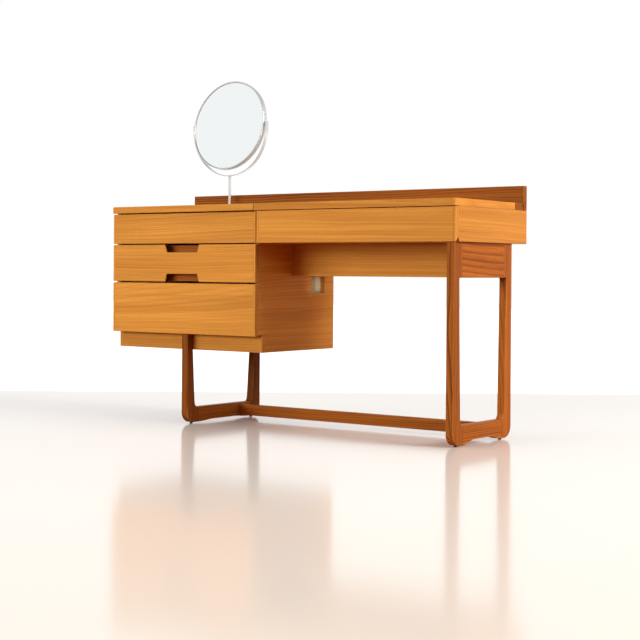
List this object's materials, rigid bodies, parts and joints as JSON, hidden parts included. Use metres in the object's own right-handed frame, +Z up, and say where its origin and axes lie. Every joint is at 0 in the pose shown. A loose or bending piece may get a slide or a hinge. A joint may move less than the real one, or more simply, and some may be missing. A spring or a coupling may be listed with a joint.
{
  "type": "vanity table with mirror",
  "caption": "Teak dressing table with drawers on the left, a wide drawer over the knee space, sled legs and a round tilting mirror on a swivel rod.",
  "frame": {"origin": "on the floor, under the middle of the desk's bounding box", "axes": "+X to the sitter's right along the desk's length, +Y towards the back (the drawers open towards -Y), +Z up"},
  "size_m": [1.37, 0.43, 1.1866],
  "materials": {
    "golden_teak": "golden teak veneer with fine straight grain, oiled to a soft sheen",
    "dark_teak": "solid red-brown teak, darker than the fronts, rounded edges, soft sheen",
    "pale_wood": "unfinished pale hardwood and plywood inside the drawers and behind them",
    "satin_steel": "satin stainless steel, finely brushed",
    "mirror_glass": "silvered flat mirror glass",
    "black_plastic": "dark matte plastic glides"
  },
  "bodies": {
    "desk": {"top_left": "golden_teak", "top_right": "golden_teak", "pedestal_side_left": "golden_teak", "pedestal_side_right": "golden_teak", "kick_panel": "golden_teak", "desk_side_right": "golden_teak", "desk_bottom": "golden_teak", "desk_back": "golden_teak", "apron": "golden_teak", "upstand": "dark_teak", "mirror_rail": "dark_teak", "left_front_leg": "dark_teak", "left_rear_leg": "dark_teak", "left_bottom_rail": "dark_teak", "right_front_leg": "dark_teak", "right_rear_leg": "dark_teak", "right_bottom_rail": "dark_teak", "right_top_rail": "dark_teak", "stretcher": "dark_teak", "pedestal_bottom": "pale_wood", "pedestal_back": "pale_wood", "rear_post": "pale_wood", "runner_1_left": "pale_wood", "runner_1_right": "pale_wood", "runner_2_left": "pale_wood", "runner_2_right": "pale_wood", "runner_3_left": "pale_wood", "runner_3_right": "pale_wood", "mirror_socket": "satin_steel", "glide_left_front": "black_plastic", "glide_left_rear": "black_plastic", "glide_right_front": "black_plastic", "glide_right_rear": "black_plastic"},
    "drawer_1": {"drawer_1_front": "golden_teak", "drawer_1_side_left": "pale_wood", "drawer_1_side_right": "pale_wood", "drawer_1_back": "pale_wood", "drawer_1_bottom": "pale_wood"},
    "drawer_2": {"drawer_2_front": "golden_teak", "drawer_2_inner_front": "dark_teak", "drawer_2_side_left": "pale_wood", "drawer_2_side_right": "pale_wood", "drawer_2_back": "pale_wood", "drawer_2_bottom": "pale_wood"},
    "drawer_3": {"drawer_3_front": "golden_teak", "drawer_3_side_left": "pale_wood", "drawer_3_side_right": "pale_wood", "drawer_3_back": "pale_wood", "drawer_3_bottom": "pale_wood"},
    "drawer_4": {"drawer_4_front": "golden_teak", "drawer_4_side_left": "pale_wood", "drawer_4_side_right": "pale_wood", "drawer_4_back": "pale_wood", "drawer_4_bottom": "pale_wood"},
    "mirror_stand": {"mirror_rod": "satin_steel", "mirror_yoke": "satin_steel", "pivot_pin_left": "satin_steel", "pivot_pin_right": "satin_steel"},
    "mirror": {"mirror_shell": "satin_steel", "mirror_glass": "mirror_glass"}
  },
  "joints": [
    {"name": "drawer_1_slide", "type": "slide", "parent": "desk", "child": "drawer_1", "axis": [0, -1, 0], "range_m": [0, 0.23]},
    {"name": "drawer_2_slide", "type": "slide", "parent": "desk", "child": "drawer_2", "axis": [0, -1, 0], "range_m": [0, 0.23]},
    {"name": "drawer_3_slide", "type": "slide", "parent": "desk", "child": "drawer_3", "axis": [0, -1, 0], "range_m": [0, 0.23]},
    {"name": "drawer_4_slide", "type": "slide", "parent": "desk", "child": "drawer_4", "axis": [0, -1, 0], "range_m": [0, 0.3]},
    {"name": "mirror_swivel", "type": "hinge", "parent": "desk", "child": "mirror_stand", "pos_m": [-0.482, 0.166, 0.85], "axis": [0, 0, 1], "continuous": true},
    {"name": "mirror_tilt", "type": "hinge", "parent": "mirror_stand", "child": "mirror", "pos_m": [-0.482, 0.166, 1.026], "axis": [1, 0, 0], "continuous": true}
  ]
}
